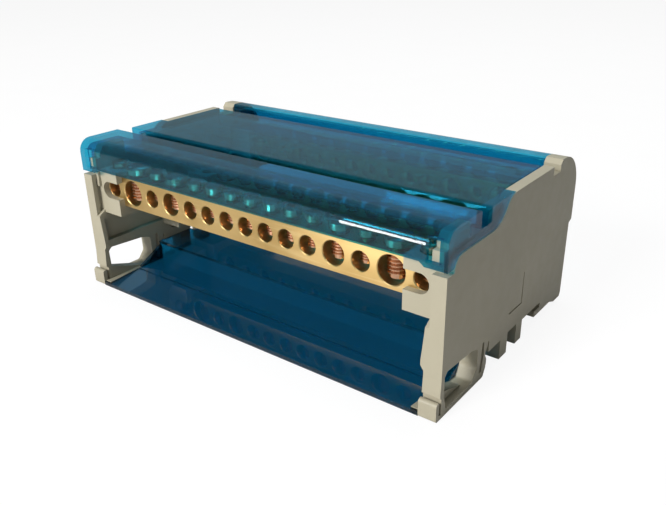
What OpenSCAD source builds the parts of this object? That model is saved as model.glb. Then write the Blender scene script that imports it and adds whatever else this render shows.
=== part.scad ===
// Four-pole power distribution block for a 35 mm mounting rail.
// Two moulded end plates carry four brass bars, a clear tray and a hinged clear cover.
// X runs along the bars, the front is at -Y, and Z is up from the foot of the end plates.

/* [Terminals] */
// Bore of the small terminals
small_bore = 5.4; // [4.8:0.1:5.8]
// Bore of the medium terminals
medium_bore = 6.8; // [6:0.1:7.4]
// Bore of the large terminals
large_bore = 8; // [7:0.1:8.6]
// Brass left between two small bores
small_web = 2; // [1.6:0.1:3]
// Brass left beside a medium or a large bore
large_web = 2.35; // [2:0.05:3.5]
// Small terminals on each side of the middle one
side_terminals = 3; // [1:1:6]

/* [Bars] */
// Front-to-back size of a bar
bar_d = 7; // [6:0.2:8]
// Height of a bar
bar_h = 10; // [9.8:0.1:10.6]
// Height of the outer bars' bores
outer_z = 33.1; // [32.6:0.1:33.6]
// Height of the inner bars' bores
inner_z = 21.9; // [20:0.1:22.2]
// Distance between the two inner bars
inner_pitch = 15; // [14:0.5:17]
// Brass past the last bore
bar_land = 0.9; // [0.6:0.1:2]

/* [Screws] */
// Thread diameter of the small clamp screws
small_thread = 4; // [3.4:0.1:4.4]
// Thread diameter of the medium clamp screws
medium_thread = 5; // [4.4:0.1:5.4]
// Thread diameter of the large clamp screws
large_thread = 6; // [5:0.1:6.4]
// Head diameter over thread diameter
head_ratio = 1.3; // [1.2:0.05:1.4]
// Height of a screw head
head_h = 2.6; // [2:0.1:3]
// How far a head stands off its bar
head_lift = 1; // [0.6:0.1:1.4]
// Gap between a screw's end and the floor of its bore
tip_gap = 1.2; // [0.6:0.1:2.4]

/* [End plates] */
// Overall thickness of an end plate
plate_t = 5; // [4.6:0.1:6]
// Thickness of its recessed web
web_t = 3.1; // [2.6:0.1:3.4]
// Width of its front edge
flange_w = 3.9; // [3.6:0.1:4.4]
// Depth of the lip behind its front edge
flange_d = 1.4; // [1:0.1:2]
// Front-to-back size above the rear step
body_d = 77.8; // [77:0.1:80]
// Depth of the rear step
rear_step = 1.8; // [1:0.1:2.4]
// Height of the plates' top edge
plate_top = 48.2; // [48:0.1:48.8]
// Height of the ledge under the cover's front corner
ledge_z = 37.8; // [37.2:0.1:38]
// Distance the front of a bar holder stands behind the plate's front edge
holder_set = 2.6; // [2.2:0.1:3]
// Wall of a bar holder in front of and behind its bar
holder_wall = 2.1; // [1.6:0.1:2.4]
// Wall of a bar holder above its bar
holder_roof = 1.3; // [1:0.1:1.4]
// Floor of a bar holder below its bar
holder_floor = 3.2; // [2.4:0.1:3.4]
// Reach of a bar holder from the plate's inner face
holder_reach = 8; // [7:0.5:9]

/* [Rail foot] */
// Width of the mounting rail
rail_w = 35; // [34.8:0.1:35.4]
// Height of the seat that lies on the rail
rail_z = 6.4; // [6:0.1:6.8]
// Front edge of the rail
rail_y = 24.2; // [24:0.1:24.6]
// Thickness of the foot's bottom bar
foot_t = 1.6; // [1.4:0.1:2]

/* [Cover] */
// Wall thickness of the cover
cover_t = 1.6; // [1.2:0.1:1.8]
// Height of the front strip's top
strip_top = 49; // [48.8:0.1:49.4]
// Height of the middle panel's top
panel_top = 48.4; // [48.3:0.1:48.8]
// Height of the two grooves' floors
groove_z = 44.4; // [44.2:0.1:44.8]
// Radius of the cover's front edge
front_r = 4; // [3:0.25:5]
// Height of the front wall's lower edge
lip_z = 40.1; // [39.6:0.1:40.6]
// How much lower that edge is at both ends
lip_drop = 1.1; // [0.6:0.1:1.2]

/* [Tray] */
// Wall thickness of the tray
tray_t = 1.2; // [1:0.1:1.4]
// Distance the tray's front edge stands in front of the end plates
tray_nose = 1.9; // [1:0.1:2]

/* [Hidden] */
$fn = 48;

grey = [0.78, 0.77, 0.73];
blue = [0.05, 0.38, 0.55, 0.6];
brass = [0.80, 0.63, 0.30];
steel = [0.62, 0.50, 0.38];

eps = 0.01;
gap = 0.3;          // running gap between the cover and the end plates
thread_gap = 0.02;  // thread to tapped hole
bore_chamfer = 0.22;

// Bores of one half of a bar, from the middle outwards.
half_bores = concat([for (i = [0 : side_terminals]) small_bore],
    [medium_bore, small_bore, large_bore, small_bore]);
last = len(half_bores) - 1;
function web(i) = i <= side_terminals ? small_web : large_web;
function bore_x(i) = i == 0 ? 0
    : bore_x(i - 1) + half_bores[i - 1] / 2 + web(i) + half_bores[i] / 2;
end_x = bore_x(last);
bar_half = end_x + small_bore / 2 + bar_land;
plate_in = bar_half;                  // inner face of an end plate
plate_out = plate_in + plate_t;       // outer face
web_in = plate_out - web_t;           // inner face of the recessed web
mid_y = (body_d - tray_nose) / 2;     // middle of the whole block, front to back

// Rows of bars: [y of the bar's middle, height of its bores, side its wires come from].
outer_y = holder_set + holder_wall + bar_d / 2;
rear_y = body_d - rear_step + 1 - outer_y;
inner_mid = (outer_y + rear_y) / 2;
rows = [[outer_y, outer_z, -1], [inner_mid - inner_pitch / 2, inner_z, -1],
    [inner_mid + inner_pitch / 2, inner_z, 1], [rear_y, outer_z, 1]];

// Cover seat on the end plates.
ledge_d = 3.2;
step_r = 3.7;
seat_z = ledge_z + step_r;
rise_y = 34.6;
rise_r = 6.2;
dip_r = 9.2;

// Ear at the rear of the end plates, and the hinge in it.
ear_top = 48.8;
ear_r = 11;
notch_y = body_d - 19.2;
notch_w = 5;
notch_z = 45.6;
ear_y = notch_y + notch_w;
ear_c = [body_d - ear_r, ear_top - ear_r];
hinge_y = body_d - 3.8;
hinge_z = 42.8;
pin_r = 1.3;
pin_gap = 0.08;
pin_len = 3;

// Cover profile, front to back.
strip_y = 15.3;
panel_y = 20.7;
rear_strip_y = ear_y + 0.4;
rear_groove_y = rear_strip_y - 6.7;
rear_lip_z = 42;
rear_lip_a = asin((rear_lip_z - ear_c[1]) / ear_r);
panel_in = web_in - gap;              // half length of the panel between the plates' tops
cheek_in = plate_out - cover_t;       // inner face of the cover's cheeks
knuckle_in = plate_in - gap;          // half length of the rear strip
slot_in = plate_out - 5.8;
slot_w = 3.6;
slot_top = 46.2;
nub_top = 42.9;

function arc(c, r, a0, a1, n) =
    [for (i = [0 : n]) c + r * [cos(a0 + (a1 - a0) * i / n), sin(a0 + (a1 - a0) * i / n)]];

// Outline with rounded corners: each corner is [y, z, radius].
function unit(v) = v / norm(v);
function corner(p, a, b) = let (
        c = [p[1][0], p[1][1]], r = p[1][2],
        u = unit([p[0][0], p[0][1]] - c), v = unit([p[2][0], p[2][1]] - c),
        half = acos(max(-1, min(1, u * v))) / 2)
    r == 0 ? [c] : let (
        m = c + unit(u + v) * r / sin(half), t = r / tan(half),
        s = c + u * t - m, e = c + v * t - m,
        a0 = atan2(s[1], s[0]), d = atan2(e[1], e[0]) - a0,
        turn = d > 180 ? d - 360 : d < -180 ? d + 360 : d,
        n = max(2, ceil(abs(turn) / 15)))
    [for (i = [0 : n]) m + r * [cos(a0 + turn * i / n), sin(a0 + turn * i / n)]];
function rounded(p) = let (n = len(p))
    [for (i = [0 : n - 1]) each corner([p[(i + n - 1) % n], p[i], p[(i + 1) % n]])];

// Extrudes a [y, z] outline along X from x0 to x1.
module along_x(x0, x1) {
    translate([x0, 0, 0]) rotate([90, 0, 90]) linear_extrude(x1 - x0) children();
}

// Places geometry drawn from the plates' front edge in the block's own frame.
module placed() {
    translate([0, -mid_y, 0]) children();
}

// Line on which the cover's cheek sits, at a distance g above the plate.
function seat(g) = let (
        low = [ledge_d + step_r, ledge_z], high = [rise_y, plate_top - rise_r],
        dz = seat_z + dip_r - high[1], a = asin(dz / (dip_r + rise_r)),
        dip = [rise_y - (dip_r + rise_r) * cos(a), seat_z + dip_r])
    concat(arc(low, step_r + g, 180 - asin(g / (step_r + g)), 90, 6),
        arc(dip, dip_r - g, 270, 360 - a, 7), arc(high, rise_r + g, 180 - a, 90, 5));

// Outline of an end plate, without the foot's clip.
function plate_outline() = let (
        back = body_d - rear_step, hook = rail_y + rail_w, reach = 3.8)
    concat([[0, 14.5], [0, ledge_z]], seat(0),
        [[notch_y, plate_top], [notch_y, notch_z], [ear_y, notch_z], [ear_y, ear_top - 1.3],
            [ear_y + 1.3, ear_top]],
        arc(ear_c, ear_r, 90, 0, 9),
        [[body_d, 27.1], [back, 26.3], [back, 3], [back - 0.6, 1.7], [back - 5.2, 1.7],
            [back - 8.9, 3.05], [hook - reach, 3.05], [hook - reach, rail_z - 1.6],
            [hook, rail_z - 1.6], [hook, rail_z]],
        tooth(46.5, rail_z, 42.5, notch_top), tooth(36.9, notch_top, 32.4, rail_z),
        [[rail_y + 1, rail_z], [rail_y + 1, 14.5]]);
notch_top = rail_z + 0.4;
tooth_z = 0.4;
function tooth(y1, z1, y0, z0) = [[y1, z1], [y1, tooth_z], [y0, tooth_z], [y0, z0]];

// The rail clip under the front of an end plate, cut from one outline with its window.
module foot_outline() {
    difference() {
        polygon(rounded([[0, 15, 0], [0, 10.9, 0], [-0.3, 6.2, 0], [0.4, 5.6, 0], [0.4, 1.2, 0],
            [-0.5, 1.2, 0], [-0.5, 5.2, 0.3], [-tray_nose, 5.2, 0.9], [-tray_nose, 0, 0.7],
            [rail_y - 1.5, 0, 0.8], [rail_y - 0.3, 2.3, 0], [rail_y, 3.6, 0.3],
            [rail_y, 4.8, 0], [rail_y - 0.9, rail_z, 0], [rail_y - 0.9, rail_z + 0.9, 0],
            [rail_y + 1.3, rail_z + 3.5, 0], [rail_y + 1.3, 15, 0]]));
        window_outline();
        polygon(rounded([[rail_y - 4, foot_t + 0.4, 0.3], [rail_y - 2.7, foot_t + 0.4, 0.3],
            [rail_y - 1.8, 7, 2], [rail_y - 2, 11, 0.4], [rail_y - 3, 11, 0.4],
            [rail_y - 3.2, 7, 2]]));
        polygon([[rail_y - 0.4, rail_z - 0.01], [rail_y + 0.2, rail_z - 0.01],
            [rail_y + 0.9, 9.9], [rail_y + 0.5, 9.9]]);
    }
}

// Window between the clip's spring arm and the body of the plate.
module window_outline() {
    polygon(rounded([[1.5, 11.3, 0.5], [2.7, 12.4, 0.5], [15, 11.6, 1], [18.7, 10.6, 1.2],
        [18.9, 4.5, 2], [16.5, foot_t, 1], [2.8, foot_t, 0.3], [1.7, 5.6, 0.5]]));
}

// Thin corner web left on the inside of the clip's window.
module corner_web_outline() {
    polygon([[1, 6.2], [1, foot_t - 0.6], [14, foot_t - 0.6], [13.4, foot_t + 0.2], [2.3, 5.4]]);
}

// One bar holder on the inside of the right end plate.
module holder(row) {
    y = row[0];
    z0 = row[1] - bar_h / 2 - holder_floor;
    z1 = row[1] + bar_h / 2 + holder_roof;
    wide = bar_d + 2 * holder_wall;
    translate([plate_in - holder_reach, y - wide / 2, z0])
        cube([holder_reach + plate_t - web_t + 0.5, wide, z1 - z0]);
}

well_y = 37.2;
well_w = 4;
well_skin = 2.4;

// What is cut from the holders: the bar's pocket, the wire entry and the screw's way.
module holder_cut(row) {
    y = row[0];
    z = row[1];
    side = row[2];
    mouth = plate_in - holder_reach - 1;
    translate([mouth, y - bar_d / 2, z - bar_h / 2]) cube([bar_half - mouth, bar_d, bar_h]);
    translate([end_x, y, z]) rotate([90, 0, 0])
        translate([0, 0, side < 0 ? 0 : -bar_d]) cylinder(d = small_bore, h = bar_d);
    translate([mouth, side < 0 ? y - bar_d : y, z - small_bore / 2])
        cube([end_x - mouth, bar_d, small_bore]);
    translate([end_x, y, z]) cylinder(d = small_thread * head_ratio + 2 * gap, h = bar_h);
}

// The cover's bearing surface inside its cheeks and under its roof.
module shoulder_outline() {
    low = groove_z - cover_t - 0.5;
    front = cover_t + 0.2;
    polygon([[front, 34], [front, nub_top], [front + 1.8, nub_top], [front + 1.8, 44.4],
        [front + 3.4, 46.6], [strip_y - cover_t - 0.5, 46.6],
        [strip_y - cover_t - 0.5, low], [panel_y + cover_t + 0.5, low],
        [panel_y + cover_t + 0.5, panel_top - cover_t - 0.5],
        [rise_y + 1, panel_top - cover_t - 0.5], [rise_y + 1, 34]]);
}

// Recess that leaves the thin web between the plate's edges.
module web_outline() {
    polygon(rounded([[flange_d, 15, 1], [flange_d, ledge_z - 1.2, 0.6],
        [strip_y, ledge_z - 1.2, 0], [strip_y, 41, 1], [ear_y, 41, 1],
        [ear_y, ledge_z, 0], [body_d - rear_step - flange_d, ledge_z, 1],
        [body_d - rear_step - flange_d, 10.5, 1], [29, 10.5, 2], [25, 15, 2]]));
}

// Ledge beside the tray's floor, seen from above.
ledge_front = 0.8 - tray_nose;
module tray_ledge(high) {
    linear_extrude(high) polygon([[plate_in + 0.5, ledge_front], [plate_in - 2.4, ledge_front],
        [plate_in - 0.9, 12.5], [plate_in + 0.5, 13]]);
}

// Broad lower part of the front edge, with a brace to the front bar's holder.
module broad_edge() {
    holder_z = rows[0][1] - bar_h / 2 - holder_floor;
    brace_z = holder_z - 0.9;
    translate([0, flange_d, 0]) rotate([90, 0, 0]) linear_extrude(flange_d)
        polygon([[plate_out, brace_z], [plate_in, brace_z], [plate_in - 0.9, 14.8],
            [plate_in - 0.9, 13.4], [plate_in + 0.7, 11], [plate_in + 0.7, 6.4],
            [plate_out, 6.4]]);
    along_x(plate_in, web_in + 0.5)
        polygon([[0, brace_z - 1.4], [0, brace_z], [holder_set + 0.5, holder_z + 1.2],
            [holder_set + 0.5, brace_z - 1.4]]);
}

// The right end plate, drawn from its own front edge.
module end_plate() {
    difference() {
        union() {
            difference() {
                along_x(plate_in, plate_out) polygon(plate_outline());
                along_x(plate_in - 1, web_in) web_outline();
                along_x(plate_in - 1, plate_out - flange_w)
                    polygon([[-1, 15], [-1, 39], [flange_d + 1, 39], [flange_d + 1, 15]]);
                // Rebate under the cover's panel.
                translate([plate_in - 1, panel_y, panel_top - cover_t - 0.5])
                    cube([web_in - plate_in + 1, notch_y - panel_y, 5]);
            }
            along_x(plate_in, plate_out) foot_outline();
            // Recessed corner web of the clip.
            along_x(plate_in, plate_in + 3) corner_web_outline();
            along_x(plate_in, cheek_in - gap) shoulder_outline();
            for (row = rows) holder(row);
            broad_edge();
            tray_ledge(foot_t);
        }
        for (row = rows) holder_cut(row);
        // Bearing of the cover's hinge pin.
        translate([plate_in - 1, hinge_y, hinge_z]) rotate([0, 90, 0])
            cylinder(r = pin_r + pin_gap, h = pin_len + 1 + gap);
        // Opening down to the rail, between the two teeth.
        translate([plate_in - 4, well_y, rail_z - 1])
            cube([4 + plate_t - well_skin, well_w, 5.2]);
        // Parting line of the mould on the outer face.
        translate([plate_out - 0.3, 44.3, 12.3]) cube([1, 0.5, 9.8]);
        translate([plate_out - 0.3, 36.6, 12.3]) cube([1, 8, 0.5]);
    }
}

module end_plate_right() {
    color(grey) placed() end_plate();
}

module end_plate_left() {
    color(grey) placed() mirror([1, 0, 0]) end_plate();
}

// Section of the cover's roof: a folded wall of even thickness.
function sharp(a) = [for (p = a) [p[0], p[1], 0]];
function cover_profile() = let (t = cover_t) rounded(concat([
    [0, lip_z, 0], [0, strip_top, front_r], [strip_y, strip_top, 0.4], [strip_y, groove_z, 0],
    [panel_y, groove_z, 0], [panel_y, panel_top, 0.4], [rear_groove_y, panel_top, 0.4],
    [rear_groove_y, groove_z, 0], [rear_strip_y, groove_z, 0], [rear_strip_y, ear_top, 0.4]],
    sharp(arc(ear_c, ear_r, 90, rear_lip_a, 7)), sharp(arc(ear_c, ear_r - t, rear_lip_a, 90, 7)),
    [[rear_strip_y + t, ear_top - t, 0], [rear_strip_y + t, groove_z - t, 0],
    [rear_groove_y - t, groove_z - t, 0], [rear_groove_y - t, panel_top - t, 0],
    [panel_y + t, panel_top - t, 0], [panel_y + t, groove_z - t, 0],
    [strip_y - t, groove_z - t, 0], [strip_y - t, strip_top - t, 0],
    [t, strip_top - t, front_r - t], [t, lip_z, 0]]));

// Outer outline of the cover over its cheeks.
function cheek_outline() = rounded([[0, lip_z - lip_drop, 0], [0, strip_top, front_r],
    [strip_y, strip_top, 0.4], [strip_y, groove_z, 0], [panel_y, groove_z, 0],
    [panel_y, panel_top, 0.4], [rise_y - gap, panel_top, 0], [rise_y - gap, lip_z - lip_drop, 0]]);

module cover_roof() {
    intersection() {
        along_x(-plate_out, plate_out) polygon(cover_profile());
        union() {
            translate([-plate_out - 1, -1, 30]) cube([2 * plate_out + 2, rise_y - gap + 1, 30]);
            translate([-panel_in, panel_y + cover_t + 1, panel_top - cover_t - eps])
                cube([2 * panel_in, rear_groove_y + 0.01 - panel_y - cover_t - 1, 10]);
            translate([-knuckle_in, panel_y + cover_t + 1, 30])
                cube([2 * knuckle_in, body_d, 30]);
        }
    }
}

// Cheek, front corner and hinge pin at the right end of the cover.
module cover_end() {
    along_x(cheek_in, plate_out) polygon(cheek_outline());
    // Deeper lip beside the slot.
    translate([0, cover_t, 0]) rotate([90, 0, 0]) linear_extrude(cover_t)
        polygon([[plate_out - 7.4, lip_z + 0.5], [plate_out - 7.4, lip_z],
            [plate_out - 6, lip_z - lip_drop], [plate_out, lip_z - lip_drop],
            [plate_out, lip_z + 0.5]]);
    // End wall of the rear strip, with the hinge pin.
    along_x(knuckle_in - cover_t, knuckle_in)
        polygon(concat([[rear_strip_y + 0.5, groove_z - cover_t],
            [rear_strip_y + 0.5, ear_top - 0.8]], arc(ear_c, ear_r - 0.8, 90, rear_lip_a, 7)));
    translate([knuckle_in - 0.5, hinge_y, hinge_z]) rotate([0, 90, 0])
        cylinder(r = pin_r, h = pin_len + 0.5);
}

// Room taken from the cover where the right end plate stands.
module cover_end_cut() {
    along_x(panel_in, plate_out + 1)
        polygon(concat([[-1, 30], [-1, ledge_z + gap]], seat(gap),
            [[rise_y + 3, plate_top + gap], [rise_y + 3, 30]]));
    translate([slot_in, -1, lip_z + 0.2]) cube([slot_w, cover_t + 1.2, slot_top - lip_z - 0.2]);
}

module cover() {
    color(blue) placed() difference() {
        union() {
            cover_roof();
            cover_end();
            mirror([1, 0, 0]) cover_end();
        }
        cover_end_cut();
        mirror([1, 0, 0]) cover_end_cut();
    }
}

// Clear tray under the front wires and over the rail.
deck_z = rail_z + 0.1;
riser_y = 22.4;
tray_floor = foot_t - 0.2 - tray_t;
tray_rear = body_d - rear_step - flange_d;
module tray() {
    color(blue) placed() difference() {
        union() {
            along_x(-plate_in, plate_in) polygon([[-tray_nose, tray_floor],
                [-tray_nose, tray_floor + tray_t], [riser_y, tray_floor + tray_t],
                [riser_y, deck_z + tray_t], [tray_rear, deck_z + tray_t], [tray_rear, deck_z],
                [riser_y + tray_t, deck_z], [riser_y + tray_t, tray_floor]]);
            for (side = [-1, 1]) tray_gusset(side);
        }
        for (side = [0, 1]) mirror([side, 0, 0]) {
            translate([0, 0, -1]) tray_ledge(5);
            translate([plate_in - 2.5, well_y, rail_z - 1]) cube([5, well_w, 4]);
        }
        // Score line along the floor.
        translate([-plate_in - 1, riser_y / 2, tray_floor + tray_t - 0.35])
            cube([2 * plate_in + 2, 0.7, 1]);
    }
}

module tray_gusset(side) {
    x = side > 0 ? plate_in - tray_t : -plate_in;
    along_x(x, x + tray_t) polygon([[riser_y - 10, tray_floor + tray_t - eps],
        [riser_y + 0.1, deck_z], [riser_y + 0.1, tray_floor + tray_t - eps]]);
}

// A brass bar with its cross bores and the tapped holes above them.
module bar(row) {
    color(brass) placed() difference() {
        translate([-bar_half, row[0] - bar_d / 2, row[1] - bar_h / 2])
            cube([2 * bar_half, bar_d, bar_h]);
        for (i = [0 : last], side = i == 0 ? [1] : [-1, 1]) {
            translate([side * bore_x(i), row[0] + bar_d / 2 + 1, row[1]]) rotate([90, 0, 0])
                cylinder(d = half_bores[i], h = bar_d + 2);
            for (face = [-1, 1]) translate([side * bore_x(i), row[0] + face * bar_d / 2, row[1]])
                rotate([face * 90, 0, 0]) translate([0, 0, -bore_chamfer])
                    cylinder(d1 = half_bores[i] + 4 * bore_chamfer, d2 = half_bores[i],
                        h = 2 * bore_chamfer);
            translate([side * bore_x(i), row[0], row[1]])
                cylinder(d = thread_of(half_bores[i]) + 2 * thread_gap, h = bar_h);
        }
    }
}

function thread_of(bore) = bore == small_bore ? small_thread
    : bore == medium_bore ? medium_thread : large_thread;

// A clamp screw standing on the plane of its bar's top, with a cross recess in its head.
module screw(bore) {
    d = thread_of(bore);
    head_r = d * head_ratio / 2;
    tip = bore / 2 - tip_gap;
    rotate_extrude() polygon([[0, -bar_h / 2 - tip], [d / 2 - 0.5, -bar_h / 2 - tip],
        [d / 2, -bar_h / 2 - tip + 0.5], [d / 2, head_lift], [head_r, head_lift],
        [head_r, head_lift + head_h - 0.5], [head_r - 0.5, head_lift + head_h],
        [0, head_lift + head_h]]);
}

module screws(row, bore) {
    color(steel) placed() for (i = [0 : last], side = i == 0 ? [1] : [-1, 1])
        if (half_bores[i] == bore)
            translate([side * bore_x(i), row[0], row[1] + bar_h / 2]) difference() {
                screw(bore);
                for (turn = [0, 90]) rotate([0, 0, turn])
                    translate([-thread_of(bore) * 0.4, -0.4, head_lift + head_h - 1.2])
                        cube([thread_of(bore) * 0.8, 0.8, 2]);
            }
}

end_plate_left();
end_plate_right();
cover();
tray();
bar(rows[0]);  // bar_front
bar(rows[1]);  // bar_inner_front
bar(rows[2]);  // bar_inner_rear
bar(rows[3]);  // bar_rear
screws(rows[0], small_bore);  // small_screws_front
screws(rows[1], small_bore);  // small_screws_inner_front
screws(rows[2], small_bore);  // small_screws_inner_rear
screws(rows[3], small_bore);  // small_screws_rear
screws(rows[0], medium_bore);  // medium_screws_front
screws(rows[1], medium_bore);  // medium_screws_inner_front
screws(rows[2], medium_bore);  // medium_screws_inner_rear
screws(rows[3], medium_bore);  // medium_screws_rear
screws(rows[0], large_bore);  // large_screws_front
screws(rows[1], large_bore);  // large_screws_inner_front
screws(rows[2], large_bore);  // large_screws_inner_rear
screws(rows[3], large_bore);  // large_screws_rear
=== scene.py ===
"""Dresses the rail-mounted power distribution block and sets its light and camera."""
import math
import bmesh
import bpy
from mathutils import Matrix, Vector


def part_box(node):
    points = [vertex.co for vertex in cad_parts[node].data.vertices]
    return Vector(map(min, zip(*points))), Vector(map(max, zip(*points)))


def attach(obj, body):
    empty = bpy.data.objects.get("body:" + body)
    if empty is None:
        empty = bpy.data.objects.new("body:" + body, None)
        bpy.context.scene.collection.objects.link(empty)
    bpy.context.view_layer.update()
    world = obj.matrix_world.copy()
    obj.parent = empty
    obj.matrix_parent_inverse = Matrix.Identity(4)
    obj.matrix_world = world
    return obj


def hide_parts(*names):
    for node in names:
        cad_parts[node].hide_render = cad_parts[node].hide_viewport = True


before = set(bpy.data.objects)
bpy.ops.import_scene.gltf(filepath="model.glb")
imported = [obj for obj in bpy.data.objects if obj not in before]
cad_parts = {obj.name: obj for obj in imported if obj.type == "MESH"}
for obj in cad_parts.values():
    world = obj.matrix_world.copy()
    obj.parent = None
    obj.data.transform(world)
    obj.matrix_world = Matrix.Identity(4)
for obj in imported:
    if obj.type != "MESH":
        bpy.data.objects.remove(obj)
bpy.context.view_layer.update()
scene = bpy.context.scene
MM = 0.001


# ---------------------------------------------------------------- shader maths

class Val:
    """A shader socket with arithmetic; each operator adds one Math node."""

    def __init__(self, tree, socket):
        self.tree = tree
        self.socket = socket

    def _math(self, operation, *values):
        return self.tree.node("ShaderNodeMath", {"operation": operation},
                              dict(enumerate(values)))[0]

    def __add__(self, other):
        return self._math("ADD", self, other)

    def __rsub__(self, other):
        return self._math("SUBTRACT", other, self)

    def __mul__(self, other):
        return self._math("MULTIPLY", self, other)

    __rmul__ = __mul__


class Tree:
    """The node tree of one material."""

    def __init__(self, name):
        self.material = bpy.data.materials.new(name)
        self.material.use_nodes = True
        self.tree = self.material.node_tree
        self.tree.nodes.clear()
        self.coordinates = self.node("ShaderNodeTexCoord")["Object"]

    def node(self, kind, settings=None, inputs=None):
        """Adds a node, sets it up, then fills its sockets with values or links."""
        made = self.tree.nodes.new(kind)
        for key, value in (settings or {}).items():
            setattr(made, key, value)
        for key, value in (inputs or {}).items():
            if isinstance(value, Val):
                self.tree.links.new(value.socket, made.inputs[key])
            else:
                made.inputs[key].default_value = value
        return Outputs(self, made)

    def noise(self, scale, detail, stretch=(1, 1, 1)):
        """Noise from 0 to 1, stretched along the axes of the part."""
        place = self.node("ShaderNodeMapping", None,
                          {"Vector": self.coordinates, "Scale": stretch})["Vector"]
        return self.node("ShaderNodeTexNoise", None,
                         {"Vector": place, "Scale": scale, "Detail": detail})["Fac"]

    def spread(self, value, low, high, out_low=0.0, out_high=1.0):
        """Maps low..high to out_low..out_high, clamped."""
        return self.node("ShaderNodeMapRange", {"clamp": True},
                         {"Value": value, "From Min": low, "From Max": high,
                          "To Min": out_low, "To Max": out_high})["Result"]

    def mix(self, factor, first, second):
        """Mixes two colours."""
        return self.node("ShaderNodeMix", {"data_type": "RGBA"},
                         {0: factor, 6: first, 7: second})[2]

    def bump(self, height, distance, strength):
        """A normal from a height; distance is in metres."""
        return self.node("ShaderNodeBump", None,
                         {"Height": height, "Distance": distance, "Strength": strength})["Normal"]

    def surface(self, **inputs):
        """Ends the tree in one Principled shader."""
        named = {key.replace("_", " "): value for key, value in inputs.items()}
        shader = self.node("ShaderNodeBsdfPrincipled", None, named)["BSDF"]
        self.node("ShaderNodeOutputMaterial", None, {"Surface": shader})
        return self.material


class Outputs:
    """A node's outputs by name or number."""

    def __init__(self, tree, made):
        self.tree = tree
        self.made = made

    def __getitem__(self, key):
        return Val(self.tree, self.made.outputs[key])


def moulded_grey():
    """Light warm grey housing plastic with a fine spark-eroded surface."""
    t = Tree("moulded_grey")
    cloud = t.noise(38, 2)
    grain = t.noise(2600, 3)
    colour = t.mix(t.spread(cloud, 0.3, 0.7), (0.35, 0.318, 0.23, 1), (0.385, 0.348, 0.255, 1))
    colour = t.mix(t.spread(grain, 0.62, 0.8) * 0.35, colour, (0.28, 0.26, 0.21, 1))
    rough = t.spread(t.noise(300, 3), 0.3, 0.7, 0.44, 0.56)
    return t.surface(Base_Color=colour, Roughness=rough, Specular_IOR_Level=0.4,
                     Normal=t.bump(grain, 0.00002, 0.6))


FLOW_DEPTH = 0.93       # colour of the flow lines, as a share of the tint
PLASTIC_IOR = 1.5


def clear_blue(name, tint, wave, pane, straight, gloss):
    """Tinted transparent plastic with faint flow waves.

    straight is the share of light that goes through unbent when the face is
    looked at squarely, pane its colour at each face, gloss the index of the
    polished skin.
    """
    t = Tree(name)
    flow = t.noise(60, 2, (0.35, 1, 1))
    haze = t.noise(240, 2)
    deeper = tuple(FLOW_DEPTH * c for c in tint[:3]) + (1,)
    colour = t.mix(t.spread(flow, 0.3, 0.7), tint, deeper)
    rough = t.spread(haze, 0.35, 0.7, 0.008, 0.03)
    solid = t.node("ShaderNodeBsdfPrincipled", None,
                   {"Base Color": colour, "Roughness": rough, "IOR": PLASTIC_IOR,
                    "Transmission Weight": 1.0, "Coat Weight": 1.0, "Coat Roughness": 0.01,
                    "Coat IOR": gloss, "Normal": t.bump(flow, wave, 0.5)})["BSDF"]
    through = t.node("ShaderNodeBsdfTransparent", None, {"Color": pane})["BSDF"]
    slant = t.node("ShaderNodeLayerWeight", None, {"Blend": 0.5})["Facing"]
    share = straight - straight * (slant * slant * slant * slant)
    shader = t.node("ShaderNodeMixShader", None, {0: share, 1: solid, 2: through})[0]
    t.node("ShaderNodeOutputMaterial", None, {"Surface": shader})
    return t.material


def bare_brass():
    """Drawn brass bar: lines along its length, faint tarnish."""
    t = Tree("bare_brass")
    draw = t.noise(900, 4, (0.04, 1, 1))
    tarnish = t.noise(90, 4, (0.6, 1, 1))
    colour = t.mix(t.spread(tarnish, 0.42, 0.72), (0.64, 0.44, 0.18, 1), (0.48, 0.31, 0.11, 1))
    colour = t.mix(t.spread(draw, 0.55, 0.75) * 0.4, colour, (0.78, 0.62, 0.36, 1))
    rough = t.spread(draw, 0.3, 0.7, 0.30, 0.46)
    return t.surface(Base_Color=colour, Metallic=1.0, Roughness=rough,
                     Normal=t.bump(draw, 0.00002, 0.5))


def plated_steel():
    """Yellow-plated screw steel."""
    t = Tree("plated_steel")
    stain = t.noise(420, 3)
    colour = t.mix(t.spread(stain, 0.35, 0.7), (0.66, 0.40, 0.26, 1), (0.46, 0.24, 0.14, 1))
    rough = t.spread(stain, 0.3, 0.7, 0.15, 0.30)
    return t.surface(Base_Color=colour, Metallic=1.0, Roughness=rough,
                     Normal=t.bump(t.noise(1800, 2), 0.000008, 0.5))


GREY = moulded_grey()
LID = clear_blue("clear_blue_cover", tint=(0.006, 0.22, 0.40, 1), wave=0.00001,
                 pane=(0.16, 0.64, 0.78, 1), straight=0.86, gloss=2.4)
TRAY = clear_blue("clear_blue_tray", tint=(0.004, 0.16, 0.32, 1), wave=0.00003,
                  pane=(0.12, 0.52, 0.68, 1), straight=0.15, gloss=1.2)
BRASS = bare_brass()
PLATED = plated_steel()


def dress(node, material):
    """Gives a node of the fixed frame its finish."""
    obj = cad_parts[node]
    obj.data.materials.clear()
    obj.data.materials.append(material)


PLACES = ("front", "inner_front", "inner_rear", "rear")
for end in ("end_plate_left", "end_plate_right"):
    dress(end, GREY)
dress("cover", LID)
dress("tray", TRAY)
for place in PLACES:
    dress("bar_" + place, BRASS)


# ---------------------------------------------------------------- clamp screws

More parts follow.
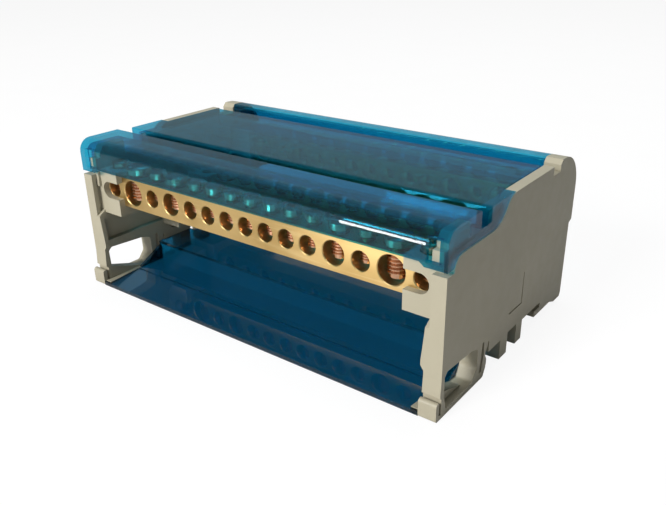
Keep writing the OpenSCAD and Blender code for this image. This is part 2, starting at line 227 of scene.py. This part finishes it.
HEAD_RATIO = 1.3        # head to thread diameter
HEAD_H = 2.6 * MM
RING = 20               # sides of a shank
HEAD_RING = 24          # sides of a head
CREST_START = 0.5       # share of a pitch at which the thread's crest starts
CREST_END = 0.62        # and ends
ROOT_END = 0.2          # share of a pitch that the root takes
CORE_LAP = 0.02 * MM    # the core stands this far into the thread
SCREW_GAP = 0.6 * MM    # least room between two screws of a row
THREAD_DEPTH = 0.62     # depth of the thread, in pitches
TURN_STEP = 2.4         # radians from one screw's recess to the next


def lathe(bm, outline, steps=RING):
    """Turns an outline of (radius, height) pairs about Z into a closed shell."""
    verts = [bm.verts.new((r, 0, z)) for r, z in outline]
    edges = [bm.edges.new(pair) for pair in zip(verts, verts[1:])]
    bmesh.ops.spin(bm, geom=verts + edges, cent=(0, 0, 0), axis=(0, 0, 1),
                   dvec=(0, 0, 0), angle=2 * math.pi, steps=steps, use_merge=True)


def helix(bm, root, crest, pitch, low, high):
    """Makes one continuous thread between two heights."""
    outline = []
    z = low
    while z < high:
        outline += [(root, z), (root, z + ROOT_END * pitch), (crest, z + CREST_START * pitch),
                    (crest, z + CREST_END * pitch)]
        z += pitch
    outline.append((root, z))
    verts = [bm.verts.new((r, 0, h)) for r, h in outline]
    edges = [bm.edges.new(pair) for pair in zip(verts, verts[1:])]
    bmesh.ops.spin(bm, geom=verts + edges, cent=(0, 0, 0), axis=(0, 0, 1),
                   dvec=(0, 0, pitch / RING), angle=2 * math.pi, steps=RING)


def to_mesh(bm, name):
    """Closes a shell, turns its faces outwards and makes it a mesh."""
    bmesh.ops.remove_doubles(bm, verts=bm.verts, dist=1e-6)
    rims = [e for e in bm.edges if e.is_boundary]
    if rims:
        bmesh.ops.holes_fill(bm, edges=rims, sides=0)
    bmesh.ops.recalc_face_normals(bm, faces=bm.faces)
    mesh = bpy.data.meshes.new(name)
    bm.to_mesh(mesh)
    bm.free()
    return mesh


def screw_head(crest):
    """Round head with a cross recess; its top is at height 0."""
    r = crest * HEAD_RATIO
    bm = bmesh.new()
    lathe(bm, [(0, 0), (0.62 * r, 0), (0.86 * r, -0.12 * MM), (0.97 * r, -0.4 * MM),
               (r, -0.75 * MM), (r, -HEAD_H + 0.15 * MM), (r - 0.15 * MM, -HEAD_H),
               (0, -HEAD_H)], HEAD_RING)
    head = bpy.data.objects.new("head", to_mesh(bm, "head"))
    bm = bmesh.new()
    for turn in (0, math.pi / 2):
        blade = bmesh.ops.create_cube(bm, size=1.0, matrix=(
            Matrix.Rotation(turn, 4, "Z") @ Matrix.Diagonal((1.25 * r, 0.2 * r, 2.2 * MM, 1))))
        for v in blade["verts"]:
            if v.co.z < 0:
                v.co.x *= 0.55
                v.co.y *= 0.55
    cross = bpy.data.objects.new("cross", bpy.data.meshes.new("cross"))
    bm.to_mesh(cross.data)
    bm.free()
    for obj in (head, cross):
        scene.collection.objects.link(obj)
    cut = head.modifiers.new("recess", "BOOLEAN")
    cut.operation = "DIFFERENCE"
    cut.solver = "EXACT"
    cut.use_self = True
    cut.object = cross
    bpy.context.view_layer.update()
    done = bpy.data.meshes.new_from_object(head.evaluated_get(
        bpy.context.evaluated_depsgraph_get()))
    for obj in (head, cross):
        bpy.data.objects.remove(obj)
    return done


def spans(node):
    """The X span of each separate screw of a node."""
    xs = sorted(v.co.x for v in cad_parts[node].data.vertices)
    found = [[xs[0], xs[0]]]
    for x in xs:
        if x - found[-1][1] > SCREW_GAP:
            found.append([x, x])
        found[-1][1] = x
    return found


def threaded_screws(size, place):
    """Real threads and dished heads in the place of the plain screws."""
    node = f"{size}_screws_{place}"
    low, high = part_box(node)
    places = spans(node)
    crest = (places[0][1] - places[0][0]) / 2 / HEAD_RATIO
    pitch = 0.16 * 2 * crest + 0.06 * MM
    root = crest - THREAD_DEPTH * pitch
    core = root + CORE_LAP
    neck = high.z - HEAD_H
    one = bmesh.new()
    helix(one, root, crest, pitch, low.z + 0.25 * MM, neck - pitch * 1.05)
    shank = to_mesh(one, "shank")
    one = bmesh.new()
    one.from_mesh(shank)
    lathe(one, [(0, low.z), (0.75 * root, low.z), (root, low.z + 0.25 * MM),
                (core, low.z + 0.4 * MM + pitch), (0, low.z + 0.45 * MM + pitch)])
    lathe(one, [(0, neck - 2 * pitch), (core, neck - 1.9 * pitch),
                (core, neck + 0.1 * MM), (0, neck + 0.1 * MM)])
    head = screw_head(crest)
    bm = bmesh.new()
    one.to_mesh(shank)
    one.free()
    head.transform(Matrix.Translation((0, 0, high.z)))
    for count, (left, right) in enumerate(places):
        for part in (shank, head):
            start = len(bm.verts)
            bm.from_mesh(part)
            bm.verts.ensure_lookup_table()
            fresh = bm.verts[start:]
            bmesh.ops.rotate(bm, verts=fresh, cent=(0, 0, 0),
                             matrix=Matrix.Rotation(TURN_STEP * count + low.y * 90, 3, "Z"))
            bmesh.ops.translate(bm, verts=fresh,
                                vec=((left + right) / 2, (low.y + high.y) / 2, 0))
    mesh = bpy.data.meshes.new("threaded_" + node)
    bmesh.ops.recalc_face_normals(bm, faces=bm.faces)
    bm.to_mesh(mesh)
    bm.free()
    mesh.materials.append(PLATED)
    obj = bpy.data.objects.new("threaded_" + node, mesh)
    scene.collection.objects.link(obj)
    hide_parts(node)
    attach(obj, "base")


for place in PLACES:
    for size in ("small", "medium", "large"):
        threaded_screws(size, place)


# ---------------------------------------------------------------- floor, light and camera

CAMERA_GLOW = 0.84      # share of the floor's glow that the camera sees
GLOSSY_GLOW = 0.2       # and that reflections see


def glowing_floor():
    """Pale floor that stays near white for the camera and keeps the shadow."""
    t = Tree("pale_floor")
    speck = t.spread(t.noise(30, 2), 0.3, 0.7)
    colour = t.mix(speck, (0.54, 0.54, 0.54, 1), (0.57, 0.57, 0.57, 1))
    matt = t.node("ShaderNodeBsdfDiffuse", None, {"Color": colour})["BSDF"]
    glow = t.node("ShaderNodeEmission", None,
                  {"Color": (1, 1, 1, 1), "Strength": 1.08})["Emission"]
    path = t.node("ShaderNodeLightPath")
    seen = path["Is Camera Ray"] * CAMERA_GLOW + path["Is Glossy Ray"] * GLOSSY_GLOW
    shader = t.node("ShaderNodeMixShader", None, {0: seen, 1: matt, 2: glow})[0]
    t.node("ShaderNodeOutputMaterial", None, {"Surface": shader})
    return t.material


def make_floor():
    """Flat floor under the block."""
    mesh = bpy.data.meshes.new("floor")
    bm = bmesh.new()
    bmesh.ops.create_grid(bm, x_segments=1, y_segments=1, size=3.0)
    bm.to_mesh(mesh)
    bm.free()
    floor = bpy.data.objects.new("floor", mesh)
    scene.collection.objects.link(floor)
    mesh.materials.append(glowing_floor())


def make_world():
    """Dim surroundings for light, brighter in reflections, white for the camera."""
    world = bpy.data.worlds.new("studio")
    scene.world = world
    world.use_nodes = True
    nodes, links = world.node_tree.nodes, world.node_tree.links
    nodes.clear()
    path = nodes.new("ShaderNodeLightPath")
    out = nodes.new("ShaderNodeOutputWorld")
    last = None
    for ray, colour, strength in ((None, (0.92, 0.96, 1.0, 1), 0.13),
                                  ("Is Glossy Ray", (0.60, 0.88, 1.0, 1), 0.46),
                                  ("Is Camera Ray", (1, 1, 1, 1), 1.0)):
        sky = nodes.new("ShaderNodeBackground")
        sky.inputs["Color"].default_value = colour
        sky.inputs["Strength"].default_value = strength
        if last is None:
            last = sky
            continue
        mix = nodes.new("ShaderNodeMixShader")
        links.new(path.outputs[ray], mix.inputs[0])
        links.new(last.outputs[0], mix.inputs[1])
        links.new(sky.outputs[0], mix.inputs[2])
        last = mix
    links.new(last.outputs[0], out.inputs["Surface"])


def area_light(name, place, target, size, power, height=None):
    """A soft light at place, turned to target; metres and watts."""
    data = bpy.data.lights.new(name, "AREA")
    data.shape = "RECTANGLE"
    data.size = size
    data.size_y = height or size
    data.energy = power
    lamp = bpy.data.objects.new(name, data)
    scene.collection.objects.link(lamp)
    lamp.visible_camera = False
    lamp.location = place
    lamp.rotation_euler = (Vector(target) - Vector(place)).to_track_quat("-Z", "Y").to_euler()


def make_camera():
    """Camera above the right front corner, turned by its own three axes."""
    data = bpy.data.cameras.new("camera")
    data.sensor_width = 36
    data.lens = 39.02
    data.clip_start = 0.01
    camera = bpy.data.objects.new("camera", data)
    scene.collection.objects.link(camera)
    right = Vector((0.7969, 0.6040, -0.0138)).normalized()
    back = Vector((0.5559, -0.7241, 0.4083)).normalized()
    up = back.cross(right).normalized()
    right = up.cross(back)
    turn = Matrix((right, up, back)).transposed().to_4x4()
    camera.matrix_world = Matrix.Translation((0.13233, -0.16561, 0.10796)) @ turn
    scene.camera = camera


make_floor()
make_world()
area_light("key", (-0.13, -0.90, 0.52), (0, 0, 0.02), 0.28, 12.5)
area_light("top", (-0.02, 0.20, 0.9), (0, 0, 0.02), 0.5, 5.0)
# Hidden from the camera; it draws the bright line on the cover's front wall.
area_light("strip", (0.0032, -0.108, 0.0111), (0.0032, 0.0, 0.045), 0.0386, 0.011, 0.003)
make_camera()
scene.view_settings.view_transform = "Standard"
